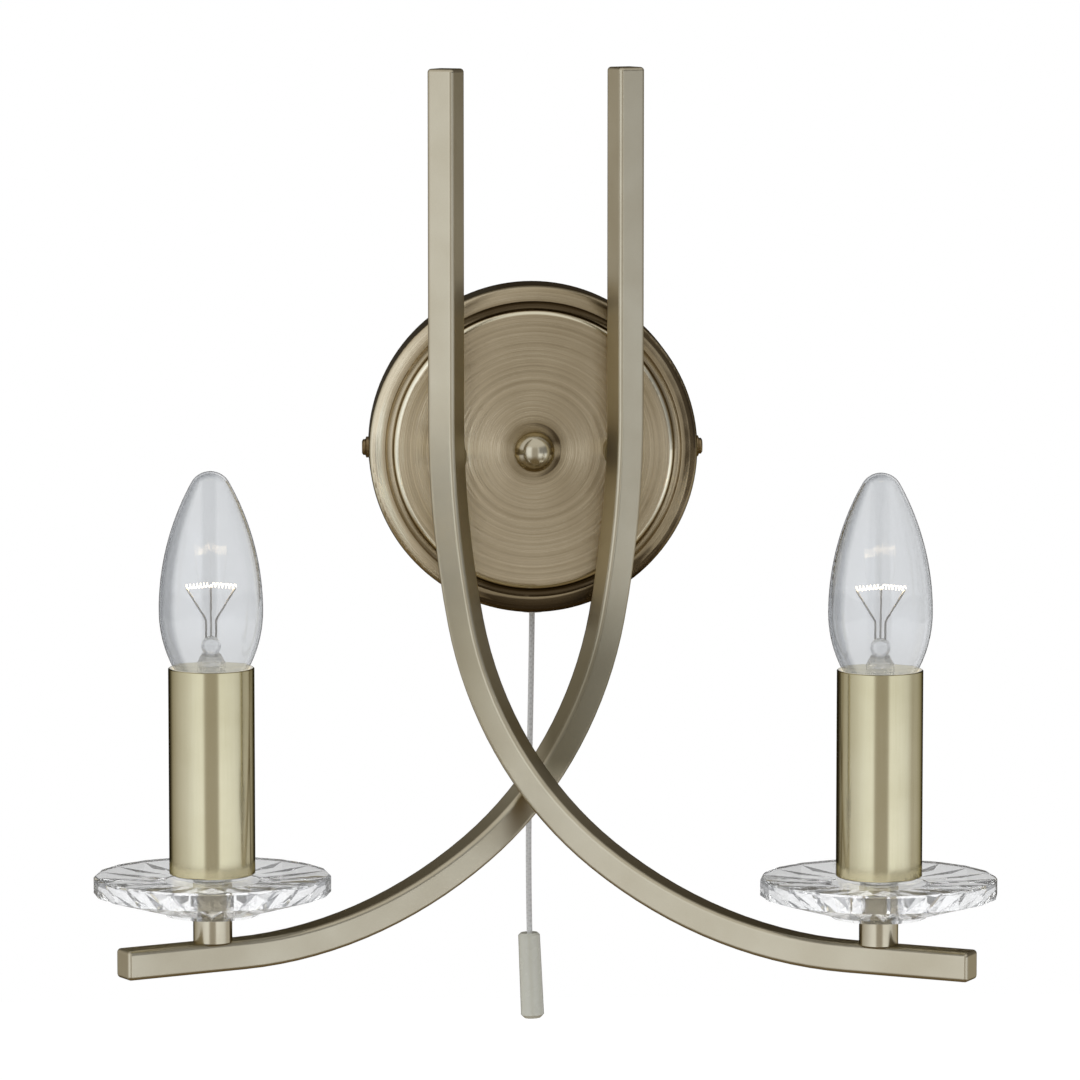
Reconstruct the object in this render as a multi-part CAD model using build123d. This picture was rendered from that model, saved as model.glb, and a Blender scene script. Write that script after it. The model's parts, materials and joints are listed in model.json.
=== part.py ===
"""Double arm wall sconce: crossing square tube arms, cut glass drip dishes, candle lamps, pull cord.

Frame: the wall is the plane Y = 0 and the light stands out towards -Y. +Z is up, +X is right
as seen from the room. The origin is the centre of the backplate on the wall. Millimetres.
Depth means distance out from the wall. Left and right lamps are named as seen from the room.
"""
from build123d import *
from math import acos, asin, cos, degrees, radians, sin, sqrt, tan
import os

os.makedirs("parts", exist_ok=True)

# ---- driving dimensions ------------------------------------------------------------------
# backplate, a pressed cup with a flange, a cove and a raised disc
plate_r = 57.5
plate_depth = 22.0
plate_skin = 1.0
plate_edge_r = 1.4
cove_r = 1.6
cove_rise = 0.9
disc_r = 49.0
disc_depth = 25.0
disc_edge_r = 2.0

# wall bracket, a steel strap with bent ends and an upright tongue
strap_thick = 1.5
strap_height = 16.0
strap_bend_r = 1.5
tab_depth = 18.0
tab_gap = 0.4
slot_spacing = 60.0
slot_length = 10.0
slot_width = 4.5
tongue_width = 16.0
tongue_height = 26.0
tongue_corner_r = 3.0
earth_x = 15.0

# small screws
side_screw_depth = 11.0
side_screw_r = 2.0
side_screw_length = 12.0
side_head_r = 3.7
side_head_height = 2.3
slot_cut = 0.9
earth_r = 2.0
earth_head_r = 3.5

# ball finial
ball_r = 7.0
ball_flat = 0.6
finial_stud_r = 2.0
finial_nut_flats = 7.0
finial_nut_thick = 3.2
stud_tail = 1.5

# arms and their posts
tube_size = 10.0
tube_corner_r = 1.5
tube_wall = 1.2
arm_x = 31.3
arm_turn = 28.0
back_arm_depth = 37.0
arm_gap = 0.72
arm_top = 134.0
bend_start = 14.0
arm_bends = ((340.0, 12.0), (125.0, 44.0), (165.0, 34.0))
arm_reach = 196.3
lamp_reach = 162.3
cap_thick = 2.5
cap_spigot = 5.0
cap_edge_r = 1.3
arm_wire_hole_r = 2.0
post_r = 6.0
post_x = 30.0
post_bore_r = 3.25
post_thread_r = 5.0
post_tail = 7.0
post_nut_flats = 14.0
post_nut_thick = 3.0
post_washer_r = 8.0
post_washer_thick = 1.0

# stem under each lamp
stem_step = 1.6
stem_height = 8.8
stem_spigot_r = 3.9
stem_bore_r = 2.75
stem_thread_r = 5.0
stem_thread_length = 27.0
stem_bevel = 0.6

# glass dish
dish_r = 40.0
dish_foot_r = 16.5
dish_foot_height = 1.0
dish_rim_low = 7.3
dish_thick = 13.4
dish_facets = 12
dish_edge = 0.7
dish_washer_thick = 0.5
low_washer_inset = 0.2
high_washer_inset = 1.5

# candle tube and lampholder
candle_r = 14.5
candle_wall = 1.0
candle_length = 69.9
ring_nut_flats = 15.0
ring_nut_thick = 3.0
holder_r = 12.0
holder_neck_r = 9.0
holder_shoulder = 4.0
holder_bevel = 1.0
wire_room = 0.4
socket_depth = 23.5
strip_rise = 2.9
shell_r = 7.6
shell_wall = 0.5
strip_thick = 0.5
strip_width = 4.0
strip_foot = 6.4
strip_bend = 3.2
strip_crown = 1.4

# candle bulb
bulb_r = 17.5
bulb_mouth_gap = 0.75
bulb_skin = 0.7
bulb_tip_r = 7.25
bulb_tip_turn = 61.0
bulb_lower_r = 42.0
bulb_shoulder_r = 7.4
bulb_neck_r = 7.6
bulb_neck_in_cap = 3.0
cap_r = 6.9
cap_skirt_r = 8.5
cap_skirt = 3.4
cap_length = 26.0
cap_wall = 0.4
contact_height = 1.4
contact_r = 2.6
insulator_height = 4.6
bead_drop = 58.9
bead_r = 3.4
mount_tube_r = 4.8
mount_bore_r = 2.4
mount_flare = 4.5
mount_pinch_r = 3.2
mount_pinch = 3.0
bead_sink = 2.5
filament_drop = 39.0
filament_span = 17.0
filament_bow = 2.6
filament_rise = 1.0
filament_r = 0.45
lead_r = 0.35

# terminal block
block_poles = 3
pole_pitch = 9.5
block_rise = 4.0
block_height = 20.0
block_depth = 12.0
insert_r = 2.6
insert_bore_r = 1.9
clamp_screw_r = 1.5
clamp_inset = 5.0
insert_inset = 2.0

# pull switch and cord
switch_width = 20.0
switch_height = 25.0
switch_thick = 17.0
switch_top = -30.0
switch_wall = 1.6
switch_corner_r = 1.5
cavity_r = 5.0
plunger_head_r = 4.6
plunger_head = 3.0
plunger_rod_r = 2.6
plunger_rod = 4.4
pull_travel = 8.0
spring_wire_r = 0.4
spring_r = 3.9
spring_turns = 5
spring_spare = 0.7
bush_r = 3.0
bush_bore_r = 1.6
bush_flange_r = 4.2
bush_flange = 0.9
cord_r = 1.0
weight_r = 4.1
weight_top_r = 3.85
weight_length = 30.5
weight_pocket_r = 2.8
weight_pocket = 12.0
knot_r = 2.2

# wires inside
wire_r = 1.5
fine_wire_r = 0.9
switch_wire_x = 4.0
switch_wire_in = 3.0
switch_wire_bend_r = 20.0
wire_in_pole = 6.0
wire_over_pole = 7.0
wire_bend_r = 3.0
wire_drop_r = 90.0

# clearances
slip = 0.1
thread_gap = 0.05
seat_gap = 0.2

# ---- sizes that follow -------------------------------------------------------------------
post_side = {"front": -1, "back": 1}
lamp_side = {"front": "right", "back": "left"}
stem_r = stem_thread_r + stem_step
bend_drop = 0.0
heading = 0.0
for bend_radius, bend_angle in arm_bends:
    bend_drop += bend_radius * (sin(radians(heading + bend_angle)) - sin(radians(heading)))
    heading += bend_angle
arm_low = bend_start - bend_drop
tube_top = arm_top - cap_thick
tube_reach = arm_reach - cap_thick
tube_bore = tube_size - 2 * tube_wall
arm_face = arm_low + tube_size / 2
stem_shoulder = arm_face + stem_height
stem_top = stem_shoulder + stem_thread_length
dish_low = stem_shoulder + dish_washer_thick
dish_top = dish_low + dish_thick
candle_low = dish_top + dish_washer_thick
candle_top = candle_low + candle_length
ring_nut_low = candle_low + candle_wall
ring_nut_top = ring_nut_low + ring_nut_thick
bulb_flank_turn = 90.0 - bulb_tip_turn
bulb_flank_r = (bulb_r - bulb_tip_r * sin(radians(bulb_tip_turn))) / (1 - cos(radians(bulb_flank_turn)))
bulb_lower_turn = degrees(acos(1 - (bulb_r - bulb_neck_r) / (bulb_lower_r + bulb_shoulder_r)))
mouth_r = candle_r - candle_wall - bulb_mouth_gap
mouth_turn = acos(1 - (bulb_r - mouth_r) / bulb_lower_r)
belly_drop = bulb_tip_r * (1 - cos(radians(bulb_tip_turn))) + bulb_flank_r * sin(radians(bulb_flank_turn))
bulb_tip = candle_top + belly_drop + bulb_lower_r * sin(mouth_turn)
bulb_neck_low = (
    bulb_tip - belly_drop - (bulb_lower_r + bulb_shoulder_r) * sin(radians(bulb_lower_turn))
    - bulb_neck_in_cap / 4
)
bulb_cap_top = bulb_neck_low + bulb_neck_in_cap
bulb_foot = bulb_cap_top - cap_length
socket_floor = bulb_foot - strip_rise
holder_top = socket_floor + socket_depth
disc_inside = disc_depth - plate_skin
block_low = strap_height / 2 + block_rise
pole_depth = strap_thick + block_depth / 2
pole_spots = [(index - (block_poles - 1) / 2) * pole_pitch for index in range(block_poles)]
cavity_floor = switch_top - switch_height + switch_wall
spring_length = pull_travel + (spring_turns + 1) * 2 * spring_wire_r + spring_spare
plunger_seat = cavity_floor + spring_length
rod_end = plunger_seat - plunger_rod

# the cord hangs in the plane of its bush, as (x, z) from the plunger to the knot
cord_depth = side_screw_depth
cord_route = ((0.0, -41.8), (0.0, -61.0), (-1.9, -157.0), (-0.3, -193.8))
weight_start = -173.0


def crossing_heading():
    """Angle of the arms' centre lines from straight down, in degrees, where they cross."""
    reach = arm_x / cos(radians(arm_turn))
    out = 0.0
    turned = 0.0
    for radius, angle in arm_bends:
        step = radius * (cos(radians(turned)) - cos(radians(turned + angle)))
        if out + step > reach:
            return degrees(acos(cos(radians(turned)) - (reach - out) / radius))
        out += step
        turned += angle
    return turned


def crossing_depth():
    """Distance in depth between the arms' centre lines at which the crossing tubes would touch."""
    down = cos(radians(crossing_heading()))
    toward_room = sin(radians(crossing_heading())) * sin(radians(arm_turn))
    straight_out = down / sqrt(down ** 2 + toward_room ** 2)
    across = straight_out * cos(radians(arm_turn))
    along = sqrt(1 - across ** 2)
    half = (tube_size / 2 - tube_corner_r) * (across + along) + tube_corner_r
    return 2 * half / straight_out


arm_depth = {"front": back_arm_depth + crossing_depth() + arm_gap, "back": back_arm_depth}
parts = {}


# ---- general shapes ----------------------------------------------------------------------
def lathe(*corners):
    """Solid of revolution about Z from (radius, height) corners."""
    return revolve(make_face(Plane.XZ * Polyline(*corners, close=True)), Axis.Z)


def sleeve(outer, inner, low, high):
    """Round tube between two heights."""
    return lathe((inner, low), (outer, low), (outer, high), (inner, high))


def rod(radius, low, high):
    """Round bar about Z between two heights."""
    return Pos(0, 0, low) * Cylinder(radius, high - low, align=(Align.CENTER, Align.CENTER, Align.MIN))


def block(width, depth, height, low=0.0):
    """Box centred on Z, standing at a height."""
    return Pos(0, 0, low) * Box(width, depth, height, align=(Align.CENTER, Align.CENTER, Align.MIN))


def hex_nut(flats, thread_r, low, high):
    """Hexagon nut on a thread between two heights, with its corners turned off."""
    blank = Pos(0, 0, low) * extrude(RegularPolygon(flats / 2, 6, major_radius=False), high - low)
    turned = rod(flats * 0.56, low, high)
    turned = chamfer(turned.edges().filter_by(GeomType.CIRCLE), (high - low) * 0.15)
    return (blank & turned) - rod(thread_r + thread_gap, low, high)


def round_bar(path, radius):
    """Round bar along a path, square to it at its start."""
    return sweep(Plane(origin=path @ 0, z_dir=path % 0) * Circle(radius), path=path)


def group(*shapes):
    """Separate solids that are filed together."""
    return Compound(children=[solid for shape in shapes for solid in shape.solids()])


def from_wall(shape, x=0.0, z=0.0):
    """Turn a shape made along +Z so that it points out of the wall, along -Y."""
    return Pos(x, 0, z) * Rot(90, 0, 0) * shape


# ---- backplate and wall bracket ----------------------------------------------------------
def plate_outline(skin):
    """Half section of the cup, `skin` below its outer surface, as (radius, depth)."""
    rim = plate_r - skin
    flange = plate_depth - skin
    side = disc_r - skin
    disc = disc_depth - skin
    edge = plate_edge_r - skin
    crown = disc_edge_r - skin
    hollow = cove_r + skin
    cove_x = disc_r + cove_r
    cove_y = plate_depth + cove_rise
    cove_from = degrees(asin((cove_y - flange) / hollow))
    rim_arc = CenterArc((rim - edge, flange - edge), edge, 0, 90)
    cove_arc = CenterArc((cove_x, cove_y), hollow, -cove_from, cove_from - 180)
    crown_arc = CenterArc((side - crown, disc - crown), crown, 0, 90)
    lines = [
        Line((0, 0), (rim, 0)),
        Line((rim, 0), rim_arc @ 0),
        rim_arc,
        Line(rim_arc @ 1, cove_arc @ 0),
        cove_arc,
        Line(cove_arc @ 1, crown_arc @ 0),
        crown_arc,
        Line(crown_arc @ 1, (0, disc)),
        Line((0, disc), (0, 0)),
    ]
    return make_face(lines)


def make_backplate():
    section = plate_outline(0) - plate_outline(plate_skin)
    cup = from_wall(revolve(Plane.XZ * section, Axis.Z))
    for side in (-1, 1):
        cup -= from_wall(rod(post_thread_r + slip, 0, 2 * disc_depth), side * post_x)
        screw_way = Rot(0, 90, 0) * Cylinder(side_screw_r + slip, 8 * plate_skin)
        cup -= Pos(side * plate_r, -side_screw_depth, 0) * screw_way
    cup -= from_wall(rod(finial_stud_r + slip, 0, 2 * disc_depth))
    cup -= Pos(0, -side_screw_depth, -plate_r) * Cylinder(bush_r + slip, 8 * plate_skin)
    parts["backplate"] = cup


def make_wall_bracket():
    """Strap across the cup whose bent ends stand just inside its side wall."""
    half = sqrt((plate_r - plate_skin) ** 2 - (strap_height / 2) ** 2) - tab_gap

    def bent(inset):
        outline = block(2 * (half - inset), strap_height * (1 + inset), 2 * tab_depth, inset)
        radius = strap_bend_r + strap_thick - inset
        corners = outline.edges().filter_by(Axis.Y).group_by(Axis.Z)[0]
        return fillet(corners, radius)

    strap = from_wall(bent(0) - bent(strap_thick))
    strap &= Box(4 * plate_r, 2 * tab_depth, strap_height)
    tongue = from_wall(block(tongue_width, tongue_height, strap_thick), 0, (strap_height + tongue_height) / 2)
    strap += fillet(tongue.edges().filter_by(Axis.Y).group_by(Axis.Z)[-1], tongue_corner_r)
    for side in (-1, 1):
        slot = from_wall(extrude(SlotOverall(slot_length, slot_width), 2 * strap_thick), side * slot_spacing / 2)
        strap -= slot
        tapping = Rot(0, 90, 0) * Cylinder(side_screw_r + thread_gap, 4 * strap_thick)
        strap -= Pos(side * half, -side_screw_depth, 0) * tapping
    strap -= from_wall(rod(earth_r + thread_gap, 0, 2 * strap_thick), earth_x)
    parts["wall_bracket"] = strap


def dome_screw(head_r, head_height, shank_r, shank_length):
    """Slotted screw on Z with a thin flange under a lower dome; its seat is at height 0."""
    dome_r = head_r * 0.76
    screw = lathe(
        (0, -shank_length), (shank_r, -shank_length), (shank_r, 0), (head_r, 0),
        (head_r, head_height * 0.35), (dome_r, head_height * 0.5),
        (dome_r, head_height * 0.8), (dome_r * 0.75, head_height), (0, head_height),
    )
    return screw - block(3 * head_r, slot_cut, head_height, head_height * 0.55)


def make_screws():
    side_screw = dome_screw(side_head_r, side_head_height, side_screw_r, side_screw_length)
    placed = []
    for side in (-1, 1):
        placed.append(Pos(side * plate_r, -side_screw_depth, 0) * Rot(0, side * 90, 0) * Rot(0, 0, 25) * side_screw)
    parts["side_screws"] = group(*placed)
    earth = dome_screw(earth_head_r, side_head_height, earth_r, strap_thick - seat_gap)
    parts["earth_screw"] = from_wall(Pos(0, 0, strap_thick) * earth, earth_x)


def make_finial():
    centre = disc_depth + ball_r - ball_flat
    ball = Pos(0, 0, centre) * Sphere(ball_r)
    ball &= rod(2 * ball_r, disc_depth, disc_depth + 3 * ball_r)
    ball -= rod(finial_stud_r + thread_gap, disc_depth, centre + ball_r / 3)
    nut_low = disc_inside - finial_nut_thick
    parts["finial_ball"] = from_wall(ball)
    parts["finial_stud"] = from_wall(rod(finial_stud_r, nut_low - stud_tail, centre + ball_r / 3 - seat_gap))
    parts["finial_nut"] = from_wall(hex_nut(finial_nut_flats, finial_stud_r, nut_low, disc_inside))


# ---- arms and posts ----------------------------------------------------------------------
def arm_plane(arm):
    """Vertical plane of an arm: local x runs out towards its lamp, local y is up."""
    side = post_side[arm]
    outward = Vector(-side * cos(radians(arm_turn)), -sin(radians(arm_turn)), 0)
    origin = (side * arm_x, -arm_depth[arm], 0)
    return Plane(origin=origin, x_dir=outward, z_dir=outward.cross(Vector(0, 0, 1)))


def arm_line():
    """Centre line in an arm's plane: straight down, three tangent bends, straight out."""
    pieces = [Line((0, tube_top), (0, bend_start))]
    for radius, angle in arm_bends:
        pieces.append(JernArc(pieces[-1] @ 1, pieces[-1] % 1, radius, angle))
    pieces.append(Line(pieces[-1] @ 1, (tube_reach, arm_low)))
    return Wire([edge for piece in pieces for edge in piece.edges()])


def square_outline(size, corner):
    return RectangleRounded(size, size, corner)


def make_arm(arm):
    plane = arm_plane(arm)
    start = Plane(origin=(0, tube_top, 0), x_dir=(0, 0, 1), z_dir=(0, -1, 0))
    section = square_outline(tube_size, tube_corner_r)
    section -= square_outline(tube_bore, max(tube_corner_r - tube_wall, slip))
    tube = plane.location * sweep(start * section, path=arm_line())
    wire_hole = Rot(-90, 0, 0) * rod(arm_wire_hole_r, 0, tube_size)
    tube -= Pos(post_side[arm] * post_x, -arm_depth[arm], 0) * wire_hole
    parts[f"arm_{arm}"] = tube - lamp_place(arm) * rod(stem_spigot_r + slip, arm_low, arm_low + tube_size)


def end_cap(seat):
    """Plug for an open tube end: a cover with a rounded face and a spigot behind it."""
    cover = extrude(square_outline(tube_size, tube_corner_r), cap_thick)
    cover = fillet(cover.faces().sort_by(Axis.Z)[-1].edges(), cap_edge_r)
    spigot = extrude(square_outline(tube_bore - 2 * slip, 2 * slip), -cap_spigot)
    return seat.location * (cover + spigot)


def make_end_caps(arm):
    plane = arm_plane(arm)
    top = Plane(origin=plane.from_local_coords(Vector(0, tube_top, 0)), x_dir=plane.x_dir, z_dir=(0, 0, 1))
    low = Plane(
        origin=plane.from_local_coords(Vector(tube_reach, arm_low, 0)), x_dir=plane.z_dir, z_dir=plane.x_dir
    )
    parts[f"{arm}_top_cap"] = end_cap(top)
    parts[f"{arm}_lamp_cap"] = end_cap(low)


def make_post(arm):
    """Hollow post from the disc to the arm, its front end cut to the arm's turned face."""
    side = post_side[arm]
    body = sleeve(post_r, post_bore_r, disc_depth, arm_depth[arm])
    tail = sleeve(post_thread_r, post_bore_r, disc_inside - post_tail, disc_depth)
    post = from_wall(body + tail, side * post_x)
    beyond = 4 * arm_depth[arm]
    arm_side = Pos(0, 0, -side * (beyond - tube_size) / 2) * Box(beyond, beyond, beyond)
    name = "left" if side < 0 else "right"
    parts[f"post_{name}"] = post - arm_plane(arm).location * arm_side


def make_post_fasteners():
    washer_low = disc_inside - post_washer_thick
    washer = sleeve(post_washer_r, post_thread_r + slip, washer_low, disc_inside)
    nut = hex_nut(post_nut_flats, post_thread_r, washer_low - post_nut_thick, washer_low)
    parts["post_washers"] = group(*[from_wall(washer, side * post_x) for side in (-1, 1)])
    parts["post_nuts"] = group(*[from_wall(nut, side * post_x) for side in (-1, 1)])


# ---- lamp stack, made on the Z axis and moved to its arm ---------------------------------
def lamp_place(arm):
    spot = arm_plane(arm).from_local_coords(Vector(lamp_reach, 0, 0))
    return Pos(spot.X, spot.Y, 0)


def make_stem():
    """Collar on the arm, its spigot in the arm's wall and its threaded tube through the dish."""
    return lathe(
        (stem_bore_r, arm_face - tube_wall), (stem_spigot_r, arm_face - tube_wall), (stem_spigot_r, arm_face),
        (stem_r, arm_face), (stem_r, stem_shoulder - stem_bevel), (stem_r - stem_bevel, stem_shoulder),
        (stem_thread_r, stem_shoulder), (stem_thread_r, stem_top - stem_bevel),
        (stem_thread_r - stem_bevel, stem_top), (stem_bore_r, stem_top),
    )


def make_dish():
    """Thick glass dish: flat top, upright rim, and an underside ground to flat facets."""
    bore = stem_thread_r + 2 * slip
    blank = lathe(
        (bore, 0), (dish_r, 0), (dish_r, dish_thick - dish_edge),
        (dish_r - dish_edge, dish_thick), (bore, dish_thick),
    )
    slope = (dish_r - dish_foot_r) / (dish_rim_low - dish_foot_height)
    reach = dish_foot_r + slope * (dish_thick - dish_foot_height)
    lower = Pos(0, 0, dish_foot_height) * RegularPolygon(dish_foot_r, dish_facets, major_radius=False)
    upper = Pos(0, 0, dish_thick) * RegularPolygon(reach, dish_facets, major_radius=False)
    facets = loft([lower, upper], ruled=True)
    return Pos(0, 0, dish_low) * (blank & (facets + rod(dish_foot_r, 0, dish_foot_height)))


def make_candle_tube():
    """Tube open at the top, closed below by a base with a hole for the threaded stem."""
    inner = candle_r - candle_wall
    bore = stem_thread_r + slip
    edge = candle_wall * 0.3
    return lathe(
        (bore, candle_low), (candle_r - edge, candle_low), (candle_r, candle_low + edge),
        (candle_r, candle_top - edge), (candle_r - edge, candle_top), (inner, candle_top),
        (inner, ring_nut_low), (bore, ring_nut_low),
    )


def make_holder_body():
    """Lampholder that screws on the stem: narrow neck, wide socket, passage for the wire."""
    shoulder = socket_floor - holder_shoulder
    passage = wire_r + wire_room
    return lathe(
        (stem_thread_r + thread_gap, ring_nut_top), (holder_neck_r, ring_nut_top),
        (holder_neck_r, shoulder - (holder_r - holder_neck_r)), (holder_r, shoulder),
        (holder_r, holder_top - holder_bevel), (holder_r - holder_bevel, holder_top),
        (shell_r + slip, holder_top), (shell_r + slip, socket_floor), (passage, socket_floor),
        (passage, stem_top + holder_bevel), (stem_thread_r + thread_gap, stem_top + holder_bevel),
    )


def make_holder_contact():
    """Sprung strip on the socket's floor that stands up to the bulb's foot."""
    low = socket_floor + strip_thick / 2
    high = bulb_foot - seat_gap - strip_thick / 2
    bend = Polyline((-strip_foot, low), (-strip_bend, low), (-strip_crown, high), (contact_r, high))
    strip = Plane.XZ * trace(bend, line_width=strip_thick)
    return extrude(strip, strip_width / 2, both=True)


def bulb_outline(skin):
    """Candle bulb's form, `skin` inside its outer surface: tip, flank, lower half, shoulder, neck."""
    tip = JernArc((0, bulb_tip - skin), (1, 0), bulb_tip_r - skin, -bulb_tip_turn)
    flank = JernArc(tip @ 1, tip % 1, bulb_flank_r - skin, -bulb_flank_turn)
    lower = JernArc(flank @ 1, flank % 1, bulb_lower_r - skin, -bulb_lower_turn)
    shoulder = JernArc(lower @ 1, lower % 1, bulb_shoulder_r + skin, bulb_lower_turn)
    rest = Polyline(shoulder @ 1, (bulb_neck_r - skin, bulb_neck_low), (0, bulb_neck_low), tip @ 0)
    return revolve(Plane.XZ * make_face([tip, flank, lower, shoulder, rest]), Axis.Z)


def make_bulb_glass():
    return bulb_outline(0) - bulb_outline(bulb_skin)


def make_bulb_cap():
    """Thin screw shell with a wider skirt that grips the neck."""
    step = cap_skirt_r - cap_r
    skirt = bulb_cap_top - cap_skirt
    foot = bulb_foot + insulator_height
    return lathe(
        (cap_r - cap_wall, foot), (cap_r, foot), (cap_r, skirt - step), (cap_skirt_r, skirt),
        (cap_skirt_r, bulb_cap_top), (cap_skirt_r - cap_wall, bulb_cap_top), (cap_skirt_r - cap_wall, skirt),
        (cap_r - cap_wall, skirt - step),
    )


def make_bulb_insulator():
    foot = bulb_foot + insulator_height
    inner = cap_r - cap_wall
    return lathe(
        (0, bulb_foot + contact_height), (contact_r + 0.4, bulb_foot + contact_height),
        (inner - 1.0, foot - 0.4), (inner, foot), (inner, foot + 1.2), (0, foot + 1.2),
    )


def make_bulb_contact():
    top = bulb_foot + contact_height
    return lathe((0, bulb_foot), (contact_r - 1.0, bulb_foot), (contact_r, bulb_foot + 0.6), (contact_r, top), (0, top))


def make_bulb_mount():
    """Glass tube that rises from the neck and ends in a pinch with a bead on it."""
    flare_r = bulb_neck_r - bulb_skin - slip
    flare_lip = mount_flare / 4
    bead = bulb_tip - bead_drop
    pinch = bead - bead_sink
    closed = pinch - mount_pinch
    tube = lathe(
        (mount_bore_r, bulb_neck_low), (flare_r, bulb_neck_low), (flare_r - flare_lip / 2, bulb_neck_low + flare_lip),
        (mount_tube_r, bulb_neck_low + mount_flare), (mount_tube_r, closed), (mount_pinch_r, pinch), (0, pinch),
        (0, closed - mount_pinch_r / 3), (mount_bore_r, closed - mount_pinch_r / 3),
    )
    return tube + Pos(0, 0, bead) * Sphere(bead_r)


def filament_ends():
    return bulb_tip - filament_drop, filament_span / 2


def make_filament():
    """Coiled wire drawn as one bar that bows between the tips of its leads."""
    height, half = filament_ends()
    bow = ThreePointArc((-half, 0, height), (0, -filament_bow, height + filament_rise), (half, 0, height))
    return round_bar(bow, filament_r)


def make_bulb_leads(mount):
    """Two leads and a middle support that stand in the bead under the filament."""
    height, half = filament_ends()
    under = height - filament_r - slip
    bead = bulb_tip - bead_drop
    leads = []
    for side in (-1, 1):
        foot = (side * bead_r / 2, 0, bead + bead_r / 2)
        knee = (side * bead_r / 2, 0, bead + 2.6 * bead_r)
        route = FilletPolyline(foot, knee, (side * (half - lead_r), 0, under), radius=bead_r)
        leads.append(round_bar(route, lead_r) - mount)
    middle = Line((0, 0, bead + bead_r / 2), (0, -filament_bow, under + filament_rise / 2))
    leads.append(round_bar(middle, lead_r) - mount)
    return group(*leads)


def make_lamp(arm):
    """All that stands on one lamp axis, filed under the lamp's side."""
    mount = make_bulb_mount()
    stack = {
        "lamp_stem": make_stem(),
        "dish_washers": group(
            sleeve(stem_r - low_washer_inset, stem_thread_r + slip, stem_shoulder, dish_low),
            sleeve(candle_r - high_washer_inset, stem_thread_r + slip, dish_top, candle_low),
        ),
        "glass_dish": make_dish(),
        "candle_tube": make_candle_tube(),
        "ring_nut": hex_nut(ring_nut_flats, stem_thread_r, ring_nut_low, ring_nut_top),
        "holder_body": make_holder_body(),
        "holder_shell": sleeve(shell_r, shell_r - shell_wall, socket_floor, holder_top - holder_bevel),
        "holder_contact": make_holder_contact(),
        "bulb_glass": make_bulb_glass(),
        "bulb_cap": make_bulb_cap(),
        "bulb_insulator": make_bulb_insulator(),
        "bulb_contact": make_bulb_contact(),
        "bulb_mount": mount,
        "bulb_leads": make_bulb_leads(mount),
        "bulb_filament": make_filament(),
    }
    for name, shape in stack.items():
        parts[f"{name}_{lamp_side[arm]}"] = lamp_place(arm) * shape


# ---- wiring ------------------------------------------------------------------------------
def make_terminal_block():
    """Row of round poles on a base; each has a brass insert and two clamp screws."""
    barrel = pole_pitch * 0.46
    base = Pos(0, -strap_thick, block_low) * Box(
        block_poles * pole_pitch, block_depth / 2, block_height, align=(Align.CENTER, Align.MAX, Align.MIN)
    )
    body = base
    inserts = []
    screws = []
    for x in pole_spots:
        body += Pos(x, -pole_depth, block_low) * rod(barrel, 0, block_height)
    for x in pole_spots:
        spot = Pos(x, -pole_depth, block_low)
        body -= spot * rod(insert_r + thread_gap, 0, block_height)
        insert = spot * sleeve(insert_r, insert_bore_r, insert_inset, block_height - insert_inset)
        for rise in (clamp_inset, block_height - clamp_inset):
            outward = spot * Pos(0, 0, rise) * Rot(90, 0, 0)
            body -= outward * rod(clamp_screw_r + thread_gap, 0, 2 * barrel)
            insert -= outward * rod(clamp_screw_r + thread_gap, 0, 2 * barrel)
            screw = rod(clamp_screw_r, wire_r + slip, barrel + 0.6) - block(4, slot_cut / 2, 2, barrel)
            screws.append(outward * screw)
        inserts.append(insert)
    parts["terminal_block"] = body
    parts["terminal_inserts"] = group(*inserts)
    parts["terminal_screws"] = group(*screws)


def bend_corners():
    """Corners of the polygon that an arm's bends touch, in the arm's plane."""
    corners = []
    point = Vector(0, bend_start)
    turned = 0.0
    for radius, angle in arm_bends:
        reach = radius * tan(radians(angle / 2))
        before = Vector(sin(radians(turned)), -cos(radians(turned))) * reach
        turned += angle
        after = Vector(sin(radians(turned)), -cos(radians(turned))) * reach
        corners.append(point + before)
        point = corners[-1] + after
    return corners


def make_lamp_wire(arm):
    """Twin lead from the terminal block through post, arm and stem to the lampholder."""
    side = post_side[arm]
    plane = arm_plane(arm)
    pole_x = side * pole_spots[-1]
    into_post = (side * post_x, -arm_depth[arm], 0)
    route = [
        (pole_x, -pole_depth, block_low + block_height - wire_in_pole),
        (pole_x, -pole_depth, block_low + block_height + wire_over_pole),
        (side * post_x, -pole_depth, block_low + block_height - wire_over_pole),
        (side * post_x, -pole_depth, 0),
        into_post,
    ]
    bends = bend_corners()
    for corner in bends + [Vector(lamp_reach, arm_low), Vector(lamp_reach, socket_floor - holder_shoulder)]:
        route.append(plane.from_local_coords(Vector(corner.X, corner.Y, 0)))
    radii = [wire_bend_r, 2 * wire_bend_r, 2 * wire_bend_r, wire_bend_r, wire_drop_r]
    radii += [radius - wire_r for radius, angle in arm_bends[1:]]
    radii.append(wire_bend_r)
    line = FilletPolyline(*route, radius=radii)
    parts[f"lamp_wire_{lamp_side[arm]}"] = round_bar(line, wire_r)


def make_switch_wires():
    """Two single wires from the pull switch up to the terminal block."""
    wires = []
    for side, pole_x in ((-1, pole_spots[0]), (1, pole_spots[1])):
        x = side * switch_wire_x
        route = FilletPolyline(
            (x, -cord_depth, switch_top - switch_wire_in), (x, -cord_depth, switch_top + 2 * block_rise),
            (pole_x, -pole_depth, block_low - 2 * block_rise), (pole_x, -pole_depth, block_low + wire_in_pole),
            radius=switch_wire_bend_r,
        )
        wires.append(round_bar(route, fine_wire_r))
    parts["switch_wires"] = group(*wires)


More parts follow.
